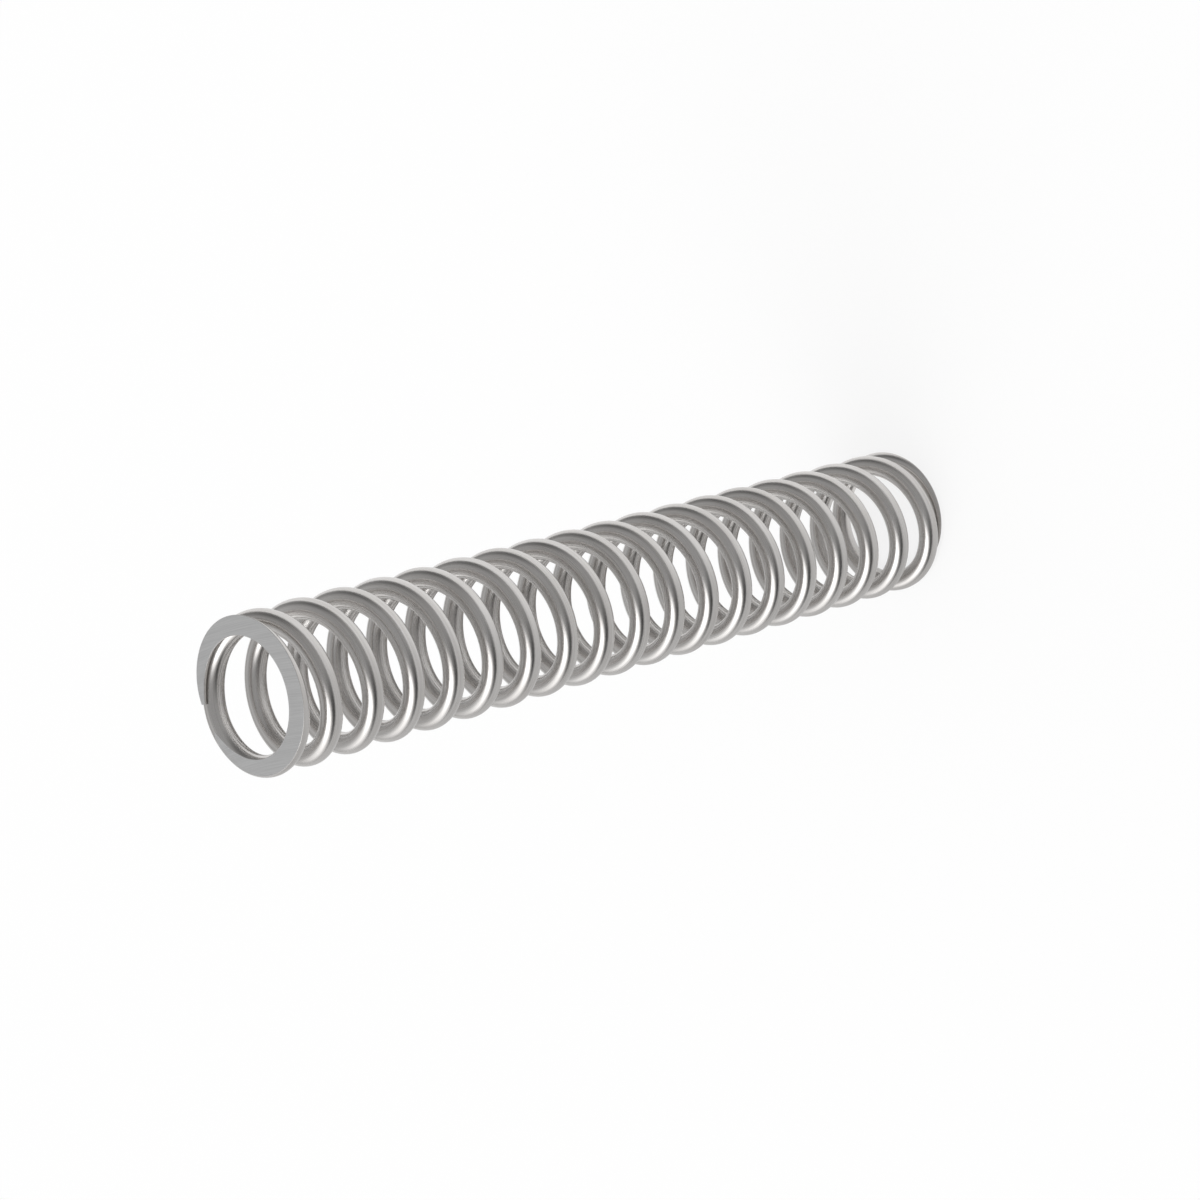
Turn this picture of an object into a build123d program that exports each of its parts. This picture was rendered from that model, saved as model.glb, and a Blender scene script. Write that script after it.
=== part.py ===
from build123d import *
import math
import os

# A compression spring: one length of round wire, wound right-handed around +Z, with both ends
# wound shut and then ground flat, square to the axis. The origin is the centre of the lower
# ground face, and the lower tip of the wire lies on +X. Lengths are in millimetres. A place
# along the wire is counted in turns from the lower tip.

# Driving dimensions
wire_diameter = 1.6
outer_diameter = 11.8
free_length = 71.5     # unloaded, from one ground face to the other
total_turns = 19.6     # from tip to tip of the wire
closed_turns = 0.9     # wound shut at each end
opening_turns = 0.1    # next to them, where the pitch grows from closed to active
closed_gap = 0.03      # left between two turns that are wound shut
tip_thickness = 0.08   # of the wire left at each tip once the end is ground

# How finely a stretch of changing pitch is interpolated
points_per_turn = 60

# Sizes that follow from the driving dimensions
wire_radius = wire_diameter / 2
mean_radius = outer_diameter / 2 - wire_radius
closed_pitch = wire_diameter + closed_gap
end_turns = closed_turns + opening_turns
# At a tip the wire's centre lies this far outside the ground face.
tip_overhang = wire_radius - tip_thickness
# The active turns take what climb the two ends leave. An opening stretch climbs as much as
# half its turns at the closed pitch and half at the active one.
total_climb = free_length + 2 * tip_overhang
closed_climb = closed_pitch * (2 * closed_turns + opening_turns)
active_pitch = (total_climb - closed_climb) / (total_turns - 2 * closed_turns - opening_turns)


def opened_share(turns_from_tip):
    """How far into the opening stretch a place lies: 0 where it starts, 1 where it ends."""
    return min(max((turns_from_tip - closed_turns) / opening_turns, 0), 1)


def pitch_at(turns_from_tip):
    """The pitch at a place: closed, then growing smoothly, then active."""
    share = opened_share(turns_from_tip)
    return closed_pitch + (active_pitch - closed_pitch) * share**2 * (3 - 2 * share)


def climb_from_tip(turns_from_tip):
    """The climb of the wire's centre from a tip to a place: the integral of pitch_at."""
    share = opened_share(turns_from_tip)
    turns_opened = opening_turns * share**3 * (1 - share / 2)
    turns_active = max(turns_from_tip - end_turns, 0)
    return closed_pitch * turns_from_tip + (active_pitch - closed_pitch) * (turns_opened + turns_active)


def height_at(place):
    """Height of the wire's centre. The upper half mirrors the lower half's climb."""
    if place <= total_turns / 2:
        return climb_from_tip(place) - tip_overhang
    return free_length + tip_overhang - climb_from_tip(total_turns - place)


def centre_at(place):
    """Centre of the wire."""
    angle = 2 * math.pi * place
    return Vector(mean_radius * math.cos(angle), mean_radius * math.sin(angle), height_at(place))


def heading_at(place):
    """Direction of the wire, as the change of its centre with each turn."""
    angle = 2 * math.pi * place
    around = 2 * math.pi * mean_radius
    climb = pitch_at(min(place, total_turns - place))
    return Vector(-around * math.sin(angle), around * math.cos(angle), climb)


def steady_run(start, finish):
    """Centre line between two places with the same pitch all the way: a true helix."""
    climb = height_at(finish) - height_at(start)
    helix = Helix(pitch=climb / (finish - start), height=climb, radius=mean_radius)
    return Pos(Z=height_at(start)) * Rot(Z=360 * start) * helix


def opening_run(start, finish):
    """Centre line between two places where the pitch changes: a spline tangent to both helices."""
    steps = math.ceil(points_per_turn * (finish - start))
    places = [start + (finish - start) * step / steps for step in range(steps + 1)]
    return Edge.make_spline(
        [centre_at(place) for place in places],
        tangents=[heading_at(start), heading_at(finish)],
        parameters=places,
        scale=False,
    )


def wound_wire():
    """The wire as it leaves the winder: a round section carried along the whole centre line."""
    centre_line = Wire([
        steady_run(0, closed_turns),
        opening_run(closed_turns, end_turns),
        steady_run(end_turns, total_turns - end_turns),
        opening_run(total_turns - end_turns, total_turns - closed_turns),
        steady_run(total_turns - closed_turns, total_turns),
    ])
    section = Plane(origin=centre_at(0), z_dir=heading_at(0)) * Circle(wire_radius)
    return sweep(section, path=centre_line, is_frenet=True)


def grind_ends(wire):
    """Grinds both ends flat: only what lies between the two ground faces stays."""
    kept_width = outer_diameter + 2 * wire_diameter
    kept_space = Box(kept_width, kept_width, free_length, align=(Align.CENTER, Align.CENTER, Align.MIN))
    return wire & kept_space


coil_spring = grind_ends(wound_wire())

os.makedirs("parts", exist_ok=True)
export_step(coil_spring, "parts/coil_spring.step")
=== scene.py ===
import math

import bpy
from mathutils import Euler, Matrix, Vector


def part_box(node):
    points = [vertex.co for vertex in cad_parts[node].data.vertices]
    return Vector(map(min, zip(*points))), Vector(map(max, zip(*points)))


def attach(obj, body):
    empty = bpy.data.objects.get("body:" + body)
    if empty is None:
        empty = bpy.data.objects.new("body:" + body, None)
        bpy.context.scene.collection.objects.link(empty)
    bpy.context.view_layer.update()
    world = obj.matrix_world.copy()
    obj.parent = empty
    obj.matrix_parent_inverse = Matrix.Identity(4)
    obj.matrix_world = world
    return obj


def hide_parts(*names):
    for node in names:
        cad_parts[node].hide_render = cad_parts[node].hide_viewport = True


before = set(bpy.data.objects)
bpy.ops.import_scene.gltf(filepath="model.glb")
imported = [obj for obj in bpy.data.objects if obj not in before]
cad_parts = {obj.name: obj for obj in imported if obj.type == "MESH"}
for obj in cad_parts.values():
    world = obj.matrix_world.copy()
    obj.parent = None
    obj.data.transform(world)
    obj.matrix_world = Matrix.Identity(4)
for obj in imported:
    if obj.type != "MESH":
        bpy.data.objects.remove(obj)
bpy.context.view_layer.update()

# ---------------------------------------------------------------------------------------------
# Sizes, in metres, and places along the wire, in turns from the lower tip
# ---------------------------------------------------------------------------------------------

MM = 0.001
NODE = "coil_spring"
node_low, node_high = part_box(NODE)
free_length = node_high.z - node_low.z
outer_radius = (node_high.x - node_low.x) / 2

wire_radius = 0.8 * MM
total_turns = 19.6
closed_turns = 0.9
opening_turns = 0.1
closed_gap = 0.03 * MM
tip_thickness = 0.08 * MM
edge_break = 0.03 * MM      # rounding of the sharp edge that grinding leaves

mean_radius = outer_radius - wire_radius
closed_pitch = 2 * wire_radius + closed_gap
end_turns = closed_turns + opening_turns
tip_overhang = wire_radius - tip_thickness
total_climb = free_length + 2 * tip_overhang
closed_climb = closed_pitch * (2 * closed_turns + opening_turns)
active_pitch = (total_climb - closed_climb) / (total_turns - 2 * closed_turns - opening_turns)

# ---------------------------------------------------------------------------------------------
# Centre line of the wire
# ---------------------------------------------------------------------------------------------


def opened_share(turns_from_tip):
    """How far into the opening stretch a place lies: 0 where it starts, 1 where it ends."""
    return min(max((turns_from_tip - closed_turns) / opening_turns, 0), 1)


def climb_from_tip(turns_from_tip):
    """The climb of the wire's centre from a tip to a place."""
    share = opened_share(turns_from_tip)
    turns_opened = opening_turns * share**3 * (1 - share / 2)
    turns_active = max(turns_from_tip - end_turns, 0)
    return closed_pitch * turns_from_tip + (active_pitch - closed_pitch) * (turns_opened + turns_active)


def height_at(place):
    """Height of the wire's centre. The upper half mirrors the lower half's climb."""
    if place <= total_turns / 2:
        return climb_from_tip(place) - tip_overhang
    return free_length + tip_overhang - climb_from_tip(total_turns - place)


def slope_at(place):
    """Angle at which the wire climbs."""
    share = opened_share(min(place, total_turns - place))
    pitch = closed_pitch + (active_pitch - closed_pitch) * share**2 * (3 - 2 * share)
    return math.atan2(pitch, 2 * math.pi * mean_radius)


# ---------------------------------------------------------------------------------------------
# Outline of the wire's section: a circle, cut off flat where a ground face passes through it.
# A point is (across, up, across part of its normal, up part of its normal), with across
# pointing out from the coil's axis.
# ---------------------------------------------------------------------------------------------

SIDE_STEPS = 14             # along each side of the section
ROUND_STEPS = 2             # along each broken edge
CHORD_STEPS = 6             # across a ground face
CAP_STEPS = CHORD_STEPS + 2 * ROUND_STEPS
CAP_SHARE = CAP_STEPS / (2 * SIDE_STEPS + 2 * CAP_STEPS)
CLOSED_HALF_ANGLE = math.radians(2)
OPENING_RATE = 2            # how fast a cap widens once its section clears the ground face
MOST_ROUNDED = 0.45         # most of a thin section's height that a broken edge takes


def on_circle(angle):
    across = math.cos(angle)
    up = math.sin(angle)
    return wire_radius * across, wire_radius * up, across, up


def ground_cap(face_height):
    """The upper end of a section whose centre lies face_height below a ground face, from its
    outer side to its inner side, and the half angle that it takes."""
    rounding = min(edge_break, MOST_ROUNDED * (wire_radius + face_height))
    up = face_height - rounding
    across = math.sqrt((wire_radius - rounding) ** 2 - up**2)
    half_angle = math.atan2(across, up)
    outer = []
    for step in range(ROUND_STEPS + 1):
        angle = math.pi / 2 - half_angle * (1 - step / ROUND_STEPS)
        outer.append((
            across + rounding * math.cos(angle),
            up + rounding * math.sin(angle),
            math.cos(angle),
            math.sin(angle),
        ))
    chord = [
        (across * (1 - 2 * step / CHORD_STEPS), face_height, 0, 1)
        for step in range(1, CHORD_STEPS)
    ]
    inner = [(-x, y, -nx, ny) for x, y, nx, ny in reversed(outer)]
    return outer + chord + inner, half_angle


def round_cap(face_height, room):
    """The same stretch of a section that no ground face reaches. It widens with the distance
    to the face, so that the mesh's lines fan out smoothly past the end of the flat, and takes
    its share of the half angle that the other cap leaves room for."""
    clear = min((face_height / wire_radius - 1) * OPENING_RATE, 1)
    half_angle = CLOSED_HALF_ANGLE + (room * CAP_SHARE - CLOSED_HALF_ANGLE) * clear
    start = math.pi / 2 - half_angle
    angles = [start + 2 * half_angle * step / CAP_STEPS for step in range(CAP_STEPS + 1)]
    return [on_circle(angle) for angle in angles], half_angle


def both_caps(near_face, far_face):
    """The cap towards the nearer ground face, then the one towards the other."""
    if near_face < wire_radius:
        near, near_half = ground_cap(near_face)
        far, far_half = round_cap(far_face, math.pi - near_half)
    else:
        near, near_half = round_cap(near_face, math.pi)
        far, far_half = round_cap(far_face, math.pi)
    return (near, near_half), (far, far_half)


def round_side(start, finish):
    """The round side between two caps, without its ends."""
    return [on_circle(start + (finish - start) * step / SIDE_STEPS) for step in range(1, SIDE_STEPS)]


def section_outline(to_upper_face, to_lower_face):
    """The whole outline, counter-clockwise from the outer corner of its upper cap."""
    if to_upper_face < to_lower_face:
        (upper, upper_half), (lower, lower_half) = both_caps(to_upper_face, to_lower_face)
    else:
        (lower, lower_half), (upper, upper_half) = both_caps(to_lower_face, to_upper_face)
    lower = [(-x, -y, -nx, -ny) for x, y, nx, ny in lower]
    quarter = math.pi / 2
    inner_side = round_side(quarter + upper_half, 3 * quarter - lower_half)
    outer_side = round_side(3 * quarter + lower_half, 5 * quarter - upper_half)
    return upper + inner_side + lower + outer_side


# ---------------------------------------------------------------------------------------------
# The wire, as a row of rings
# ---------------------------------------------------------------------------------------------

RING_POINTS = 2 * (SIDE_STEPS + CAP_STEPS)
RINGS_PER_CLOSED_TURN = 120
RINGS_PER_OPENING_TURN = 400    # close together, because the ground faces end in fine points here
RINGS_PER_ACTIVE_TURN = 80


def ring_places():
    """Where the rings lie, the same from either tip."""
    middle = total_turns / 2
    stretches = (
        (0, closed_turns, RINGS_PER_CLOSED_TURN),
        (closed_turns, end_turns, RINGS_PER_OPENING_TURN),
        (end_turns, middle, RINGS_PER_ACTIVE_TURN),
    )
    lower = []
    for start, finish, rings_per_turn in stretches:
        steps = round((finish - start) * rings_per_turn)
        lower += [start + (finish - start) * step / steps for step in range(steps)]
    return lower + [middle] + [total_turns - place for place in reversed(lower)]


PLACES = ring_places()
LAST_RING = len(PLACES) - 1


def middle_of(stretch):
    """The place halfway between a ring and the next one."""
    return (PLACES[stretch] + PLACES[stretch + 1]) / 2


class Ring:
    """The outline of the section at one place along the wire. On a ground face the normals
    point straight along the coil's axis."""

    def __init__(self, place):
        angle = 2 * math.pi * place
        slope = slope_at(place)
        height = height_at(place)
        outward = Vector((math.cos(angle), math.sin(angle), 0))
        forward = Vector((-math.sin(angle), math.cos(angle), 0))
        upward = forward * -math.sin(slope) + Vector((0, 0, math.cos(slope)))
        centre = outward * mean_radius + Vector((0, 0, height))
        along = place * math.hypot(2 * math.pi * mean_radius, active_pitch)
        self.outline = section_outline((free_length - height) / upward.z, height / upward.z)
        self.points = [centre + outward * x + upward * y for x, y, _, _ in self.outline]
        self.normals = [
            (outward * across + upward * up).normalized() if across else Vector((0, 0, up))
            for _, _, across, up in self.outline
        ]
        self.wire_places = [(along, x, y) for x, y, _, _ in self.outline]

    def distances(self):
        """How far round the outline each point lies from the first one, then the whole way."""
        ends = self.outline[1:] + self.outline[:1]
        found = [0]
        for (x, y, _, _), (next_x, next_y, _, _) in zip(self.outline, ends):
            found.append(found[-1] + math.hypot(next_x - x, next_y - y))
        return found


def ground_side(stretch, step):
    """1 where the skin between two rings lies on the upper ground face, -1 on the lower, or 0."""
    height = height_at(middle_of(stretch))
    flat = range(ROUND_STEPS, CAP_STEPS - ROUND_STEPS)
    if step in flat and free_length - height < wire_radius:
        return 1
    if step - CAP_STEPS - SIDE_STEPS in flat and height < wire_radius:
        return -1
    return 0


# ---------------------------------------------------------------------------------------------
# Flat map of the surface, to bake the materials through. The wire's skin lies in rows. The
# ground faces share the end of the last row, and the wire's tips lie in their middles.
# ---------------------------------------------------------------------------------------------

MAP_NAME = "OFBake"
MAP_ROWS = 5
ROW_HEIGHT = 1 / MAP_ROWS
ROW_MARGIN = 0.004
ROWS_LENGTH = MAP_ROWS - 2 * ROW_HEIGHT         # of all rows together, less the two ground faces


def wire_in_map(place, row, distance):
    """A point of the wire's skin, at a distance round the wire."""
    along = place / total_turns * ROWS_LENGTH - row
    around = distance / (2 * math.pi * wire_radius)
    return (
        ROW_MARGIN + along * (1 - 2 * ROW_MARGIN),
        row * ROW_HEIGHT + ROW_MARGIN + around * (ROW_HEIGHT - 2 * ROW_MARGIN),
    )


def ground_in_map(x, y, side):
    """A point x and y from the middle of the upper (side 1) or lower (side -1) ground face."""
    scale = (ROW_HEIGHT - 2 * ROW_MARGIN) / (2 * outer_radius)
    return (
        1 - ROW_HEIGHT + side * (ROW_HEIGHT / 2 + x * scale),
        1 - ROW_HEIGHT / 2 + y * scale,
    )


# ---------------------------------------------------------------------------------------------
# The spring's mesh
# ---------------------------------------------------------------------------------------------

WIRE_SLOT = 0
GROUND_SLOT = 1
WIRE_PLACE = "wire_place"                       # how far along the wire and where in its section
CORNERS = ((0, 0), (1, 0), (1, 1), (0, 1))      # of a face, in rings along and in steps round


def skin(rings):
    """The faces between the rings, their material slots and their corners' places in the map."""
    faces = []
    slots = []
    in_map = []
    distances = [ring.distances() for ring in rings]
    for stretch in range(LAST_RING):
        row = int(middle_of(stretch) / total_turns * ROWS_LENGTH)
        for step in range(RING_POINTS):
            side = ground_side(stretch, step)
            face = []
            for along, around in CORNERS:
                ring = stretch + along
                point = (step + around) % RING_POINTS
                face.append(ring * RING_POINTS + point)
                if side:
                    x, y, _ = rings[ring].points[point]
                    in_map += ground_in_map(x, y, side)
                else:
                    in_map += wire_in_map(PLACES[ring], row, distances[ring][step + around])
            faces.append(face)
            slots.append(GROUND_SLOT if side else WIRE_SLOT)
    return faces, slots, in_map


def spring_mesh():
    """The skin, closed at the wire's two tips, with its normals and its places in the map."""
    rings = [Ring(place) for place in PLACES]
    faces, slots, in_map = skin(rings)
    for number, side in ((0, -1), (LAST_RING, 1)):
        tip = range(number * RING_POINTS, (number + 1) * RING_POINTS)
        faces.append(list(tip)[::-side])
        slots.append(GROUND_SLOT)
        for x, y, _, _ in rings[number].outline[::-side]:
            in_map += ground_in_map(-x, y, side)
    mesh = bpy.data.meshes.new("spring_wire")
    mesh.from_pydata([point for ring in rings for point in ring.points], [], faces)
    mesh.polygons.foreach_set("material_index", slots)
    mesh.polygons.foreach_set("use_smooth", [True] * len(faces))
    mesh.uv_layers.new(name=MAP_NAME).uv.foreach_set("vector", in_map)
    wire_places = [number for ring in rings for place in ring.wire_places for number in place]
    mesh.attributes.new(WIRE_PLACE, "FLOAT_VECTOR", "POINT").data.foreach_set("vector", wire_places)
    normals = [normal for ring in rings for normal in ring.normals]
    mesh.normals_split_custom_set([
        face.normal.copy() if len(face.vertices) == RING_POINTS else normals[vertex]
        for face in mesh.polygons
        for vertex in face.vertices
    ])
    return mesh


spring = bpy.data.objects.new("spring_wire", spring_mesh())
bpy.context.scene.collection.objects.link(spring)
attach(spring, "root")
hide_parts(NODE)

# ---------------------------------------------------------------------------------------------
# Shader nodes
# ---------------------------------------------------------------------------------------------

NOISE_LOW = 0.35            # most of a noise lies between these
NOISE_HIGH = 0.65
FINE_DETAIL = 3

# The Mix node's sockets for colours, by their numbers, because other sockets have their names
FIRST_COLOUR = 6
SECOND_COLOUR = 7
MIXED_COLOUR = 2


class Shader:
    """Builds a node tree. Inputs are numbers or the outputs of earlier steps."""

    def __init__(self, tree):
        self.tree = tree
        tree.nodes.clear()

    def add(self, kind, inputs, **settings):
        """Adds a node and returns it."""
        made = self.tree.nodes.new("ShaderNode" + kind)
        for name, value in settings.items():
            setattr(made, name, value)
        for name, value in inputs.items():
            if isinstance(value, bpy.types.NodeSocket):
                self.tree.links.new(value, made.inputs[name])
            else:
                made.inputs[name].default_value = value
        return made

    def step(self, kind, inputs, output=0, **settings):
        """Adds a node and returns one of its outputs."""
        return self.add(kind, inputs, **settings).outputs[output]

    def maths(self, operation, first, second=0):
        return self.step("Math", {0: first, 1: second}, operation=operation)

    def mix(self, share, first, second):
        """first where the share is 0, second where it is 1."""
        return self.step("Mix", {"Factor": share, "A": first, "B": second})

    def blend(self, share, first, second):
        """The same for colours."""
        inputs = {"Factor": share, FIRST_COLOUR: first, SECOND_COLOUR: second}
        return self.step("Mix", inputs, MIXED_COLOUR, data_type="RGBA")

    def cover(self, share, first, second):
        """The same for surfaces."""
        return self.step("MixShader", {0: share, 1: first, 2: second})

    def noise(self, place, size, detail=2):
        """Uneven spots about as long and as wide as the size says, along the place's axes."""
        length, width = size
        spots = self.step("VectorMath", {0: place, 1: (length, width, width)}, operation="DIVIDE")
        return self.step("TexNoise", {"Vector": spots, "Scale": 1, "Detail": detail})

    def smooth(self, value, low, high, at_low=0, at_high=1):
        """Goes smoothly between two values as the input goes from low to high."""
        inputs = {"Value": value, "From Min": low, "From Max": high, "To Min": at_low, "To Max": at_high}
        return self.step("MapRange", inputs, interpolation_type="SMOOTHSTEP")

    def spread(self, noise, at_low=0, at_high=1):
        """The same over the range that most of a noise lies in."""
        return self.smooth(noise, NOISE_LOW, NOISE_HIGH, at_low, at_high)


# ---------------------------------------------------------------------------------------------
# Materials. Marks are sized along the wire and across it, or along the grinding and across.
# ---------------------------------------------------------------------------------------------

DIE_LINE = (7 * MM, 0.05 * MM)
DIE_BAND = (15 * MM, 0.25 * MM)
STAIN = (4 * MM, 1.2 * MM)
DIE_LINE_DEPTH = 0.001 * MM
DIE_BAND_SHARE = 0.5
STAIN_SHARE = 0.4
DARK_WIRE = (0.60, 0.58, 0.563, 1)
PALE_WIRE = (0.70, 0.684, 0.67, 1)
SMOOTH_WIRE = 0.21
DULL_WIRE = 0.29

GRIND_MARK = (4 * MM, 0.06 * MM)
GRIND_BAND = (9 * MM, 0.4 * MM)
GRIND_DEPTH = 0.003 * MM
GRIND_BAND_SHARE = 0.4
WHEEL_RADIUS = 60 * MM                 # of the curve of the grinding marks
WHEEL_BEARING = math.radians(-51)      # of the wheel's middle from the coil's
DARK_GROUND = (0.67, 0.67, 0.67, 1)
PALE_GROUND = (0.76, 0.76, 0.76, 1)
SMOOTH_GROUND = 0.32
DULL_GROUND = 0.45


def new_material(name):
    material = bpy.data.materials.new(name)
    material.use_nodes = True
    spring.data.materials.append(material)
    return Shader(material.node_tree)


def finish_metal(shader, colour, roughness, height, depth):
    normal = shader.step("Bump", {"Height": height, "Distance": depth})
    surface = {"Metallic": 1, "Base Color": colour, "Roughness": roughness, "Normal": normal}
    metal = shader.step("BsdfPrincipled", surface)
    shader.add("OutputMaterial", {"Surface": metal})


def drawn_steel():
    """Wire pulled through a die, which leaves fine lines along it, in slightly uneven greys."""
    shader = new_material("drawn_steel")
    place = shader.step("Attribute", {}, "Vector", attribute_name=WIRE_PLACE)
    lines = shader.noise(place, DIE_LINE, FINE_DETAIL)
    bands = shader.noise(place, DIE_BAND)
    stains = shader.noise(place, STAIN)
    marks = shader.mix(DIE_BAND_SHARE, lines, bands)
    shade = shader.mix(STAIN_SHARE, marks, stains)
    colour = shader.blend(shader.spread(shade), DARK_WIRE, PALE_WIRE)
    roughness = shader.spread(marks, DULL_WIRE, SMOOTH_WIRE)
    finish_metal(shader, colour, roughness, lines, DIE_LINE_DEPTH)


def ground_steel():
    """End faces cut by a large grinding wheel, which leaves close, slightly curved marks."""
    shader = new_material("ground_steel")
    wheel_x = WHEEL_RADIUS * math.cos(WHEEL_BEARING)
    wheel_y = WHEEL_RADIUS * math.sin(WHEEL_BEARING)
    place = shader.step("TexCoord", {}, "Object")
    level = shader.step("VectorMath", {0: place, 1: (1, 1, 0)}, operation="MULTIPLY")
    from_wheel = shader.step("VectorMath", {0: level, 1: (wheel_x, wheel_y, 0)}, operation="SUBTRACT")
    radius = shader.step("VectorMath", {0: from_wheel}, "Value", operation="LENGTH")
    parts = shader.add("SeparateXYZ", {"Vector": from_wheel}).outputs
    turned = shader.maths("ARCTAN2", parts["Y"], parts["X"])
    along = shader.maths("MULTIPLY", turned, WHEEL_RADIUS)
    on_face = shader.step("CombineXYZ", {"X": along, "Y": radius, "Z": 0})
    lines = shader.noise(on_face, GRIND_MARK, FINE_DETAIL)
    bands = shader.noise(on_face, GRIND_BAND)
    marks = shader.mix(GRIND_BAND_SHARE, lines, bands)
    colour = shader.blend(shader.spread(marks), DARK_GROUND, PALE_GROUND)
    roughness = shader.spread(marks, DULL_GROUND, SMOOTH_GROUND)
    finish_metal(shader, colour, roughness, lines, GRIND_DEPTH)


drawn_steel()
ground_steel()

# ---------------------------------------------------------------------------------------------
# Camera
# ---------------------------------------------------------------------------------------------

SENSOR = 36
LENS = 100.3
NEAREST_SEEN = 10 * MM
FURTHEST_SEEN = 10
VIEW_TILT = math.radians(45.45)        # between the line of sight and the coil's axis
AXIS_RISE = math.radians(15.35)        # of the lower end over the upper end, in the picture
ANCHOR_PLACE = 10.33                   # turns from the lower tip to the coil top in mid-picture
ANCHOR_IN_VIEW = Vector((-1.450, -0.406, -256.86)) * MM     # of the axis there, from the camera


def camera_matrix():
    """Turns the coil's upper end towards the lower left of the picture."""
    away = Vector((
        math.sin(VIEW_TILT) * math.cos(AXIS_RISE),
        math.sin(VIEW_TILT) * math.sin(AXIS_RISE),
        -math.cos(VIEW_TILT),
    ))
    up = Vector((0, 1, 0))
    top = (up - away * up.dot(away)).normalized()
    in_view = Matrix((away, top, away.cross(top))).transposed()
    angle = 2 * math.pi * ANCHOR_PLACE
    coil_away = Vector((0, 0, -1))
    coil_top = Vector((math.cos(angle), math.sin(angle), 0))
    on_coil = Matrix((coil_away, coil_top, coil_away.cross(coil_top))).transposed()
    turn = on_coil @ in_view.transposed()
    anchor = Vector((0, 0, height_at(ANCHOR_PLACE)))
    return Matrix.Translation(anchor - turn @ ANCHOR_IN_VIEW) @ turn.to_4x4()


camera_data = bpy.data.cameras.new("camera")
camera_data.sensor_width = SENSOR
camera_data.lens = LENS
camera_data.clip_start = NEAREST_SEEN
camera_data.clip_end = FURTHEST_SEEN
camera = bpy.data.objects.new("camera", camera_data)
camera.matrix_world = camera_matrix()
bpy.context.scene.collection.objects.link(camera)
bpy.context.scene.camera = camera

# ---------------------------------------------------------------------------------------------
# Floor, light and colour. Bearings are in degrees from +X towards +Y, and elevations in degrees
# above the floor.
# ---------------------------------------------------------------------------------------------

FLOOR_SIZE = 6
FLOOR_COLOUR = 0.97
FLOOR_GLOW = 0.8            # share of the floor that shows plain white, shaded or not
SHADED_FLOOR_REFLECTION = 0.64           # painted shade: how bright the metal shows the floor's glow on the side towards the lights
# painted reflection: the bearing towards which the metal sees the floor's glow at its brightest
BRIGHT_FLOOR_REFLECTION_BEARING = math.radians(135)
DOME_LEVEL = 0.38
TOP_LIGHT_LEVEL = 0.35
TOP_LIGHT_ANGLE = 120


class Card:
    """A soft patch of the dome. Half its width and half its height are shares of its distance."""

    def __init__(self, bearing, elevation, width, height, level):
        self.bearing = math.radians(bearing)
        self.elevation = math.radians(elevation)
        self.width = width
        self.height = height
        self.level = level

    def turn(self):
        return Euler((0, -self.elevation, self.bearing))

    def centre(self):
        return self.turn().to_matrix() @ Vector((1, 0, 0))


CARDS = (
    Card(bearing=208, elevation=35, width=0.96, height=0.56, level=0.58),   # fill card
    Card(bearing=-14, elevation=13, width=1.3, height=0.73, level=0.05),    # black flag
    Card(bearing=138, elevation=19, width=1.0, height=0.56, level=0.14),    # black flag
    Card(bearing=-90, elevation=24, width=0.74, height=0.51, level=1.5),    # side light
    Card(bearing=-58, elevation=49, width=0.66, height=0.57, level=3.3),    # key light
)


def studio_world():
    """A grey dome hung with cards. The camera sees plain white instead."""
    world = bpy.data.worlds.new("studio")
    world.use_nodes = True
    shader = Shader(world.node_tree)
    direction = shader.step("TexCoord", {}, "Generated")
    brightness = DOME_LEVEL
    for card in CARDS:
        hung = {
            "Vector": direction,
            "Location": card.centre(),
            "Rotation": card.turn(),
            "Scale": (1, card.width, card.height),
        }
        on_card = shader.step("Mapping", hung, vector_type="TEXTURE")
        distance = shader.step("VectorMath", {0: on_card}, "Value", operation="LENGTH")
        brightness = shader.mix(shader.smooth(distance, 1, 0), brightness, card.level)
    camera_ray = shader.step("LightPath", {}, "Is Camera Ray")
    seen = shader.mix(camera_ray, brightness, 1)
    background = shader.step("Background", {"Color": (1, 1, 1, 1), "Strength": seen})
    shader.add("OutputWorld", {"Surface": background})
    bpy.context.scene.world = world


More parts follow.
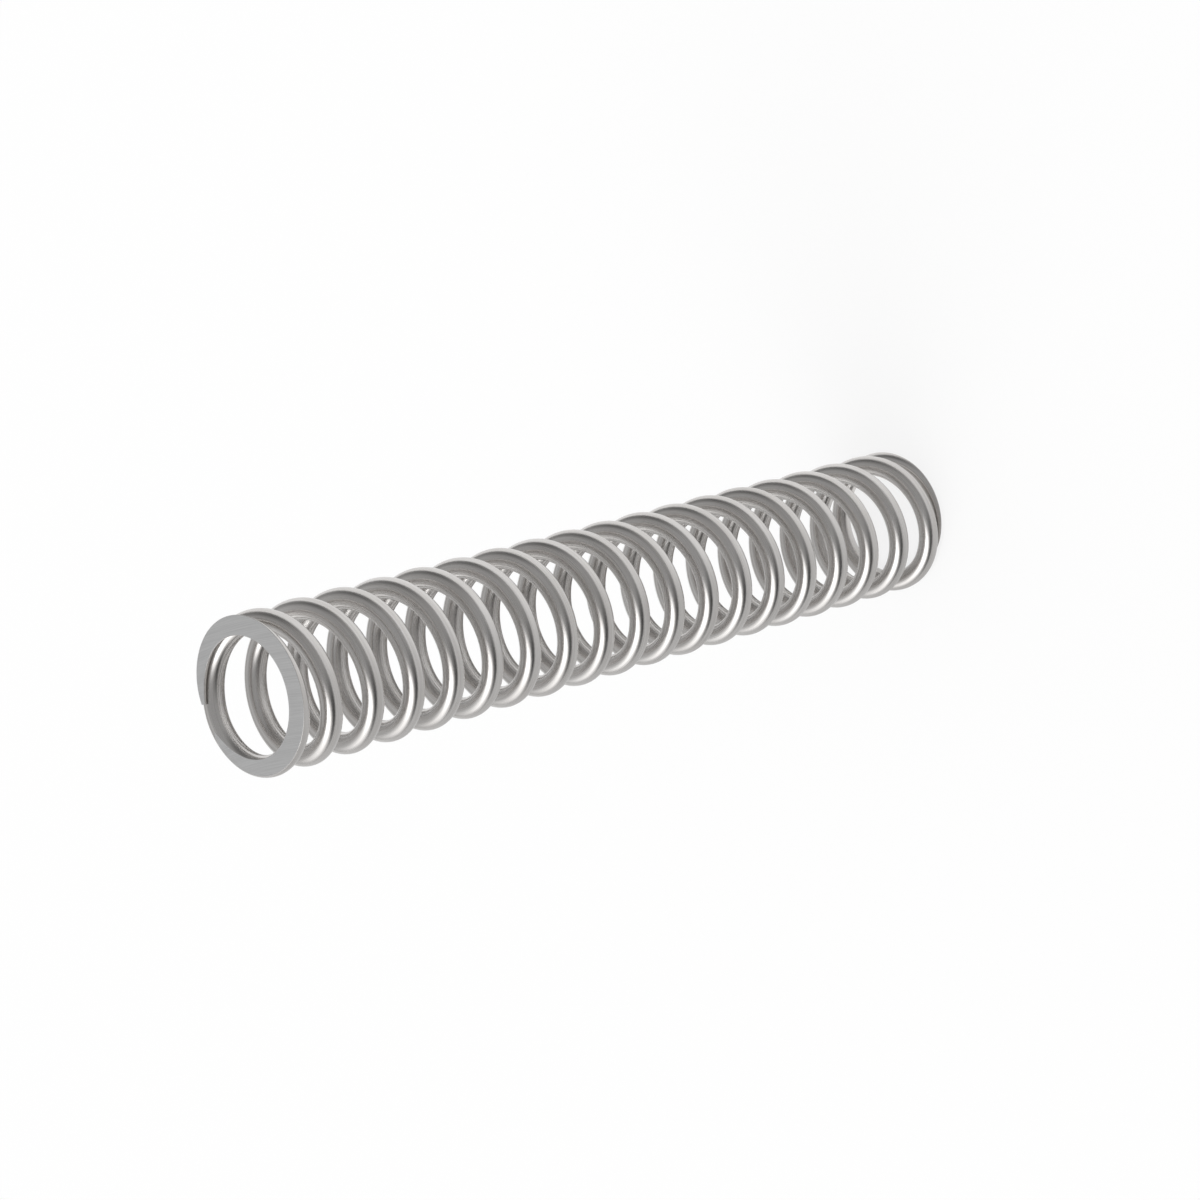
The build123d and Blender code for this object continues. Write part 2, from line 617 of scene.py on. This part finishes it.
def top_light():
    """Brings the light on the floor up to a plain level, at which a colour renders about as it
    is written. The metal doesn't mirror it."""
    data = bpy.data.lights.new("top_light", "SUN")
    data.angle = math.radians(TOP_LIGHT_ANGLE)
    data.energy = TOP_LIGHT_LEVEL * math.pi
    light = bpy.data.objects.new("top_light", data)
    light.visible_glossy = False
    bpy.context.scene.collection.objects.link(light)


def floor_surface():
    """Paint that the spring shades. The camera sees part of it plain white, and the metal sees it as a
    glow with painted shade, dimmer towards the lights."""
    material = bpy.data.materials.new("white_floor")
    material.use_nodes = True
    shader = Shader(material.node_tree)
    camera_ray = shader.step("LightPath", {}, "Is Camera Ray")
    glossy_ray = shader.step("LightPath", {}, "Is Glossy Ray")
    place = shader.step("TexCoord", {}, "Object")
    bearing = shader.step("VectorMath", {0: place}, operation="NORMALIZE")
    bright_reflection_bearing = (math.cos(BRIGHT_FLOOR_REFLECTION_BEARING), math.sin(BRIGHT_FLOOR_REFLECTION_BEARING), 0)
    towards_bright_reflection = shader.step("VectorMath", {0: bearing, 1: bright_reflection_bearing}, "Value", operation="DOT_PRODUCT")
    # Painted reflection: for glossy rays the floor glows, with painted shade darker towards the lights
    painted_floor_reflection = shader.step("Emission", {"Strength": shader.smooth(towards_bright_reflection, -1, 1, SHADED_FLOOR_REFLECTION, 1)})
    glow = shader.step("Emission", {"Strength": 1})
    paint = shader.step("BsdfDiffuse", {"Color": (FLOOR_COLOUR, FLOOR_COLOUR, FLOOR_COLOUR, 1)})
    glow_share = shader.maths("MULTIPLY", camera_ray, FLOOR_GLOW)
    seen = shader.cover(glow_share, paint, glow)
    surface = shader.cover(glossy_ray, seen, painted_floor_reflection)
    shader.add("OutputMaterial", {"Surface": surface})
    return material


def white_floor():
    reach = FLOOR_SIZE / 2
    corners = [(-reach, -reach, 0), (reach, -reach, 0), (reach, reach, 0), (-reach, reach, 0)]
    mesh = bpy.data.meshes.new("floor")
    mesh.from_pydata(corners, [], [(0, 1, 2, 3)])
    mesh.materials.append(floor_surface())
    floor = bpy.data.objects.new("floor", mesh)
    bpy.context.scene.collection.objects.link(floor)
    return floor


white_floor()
studio_world()
top_light()
bpy.context.scene.view_settings.view_transform = "Standard"
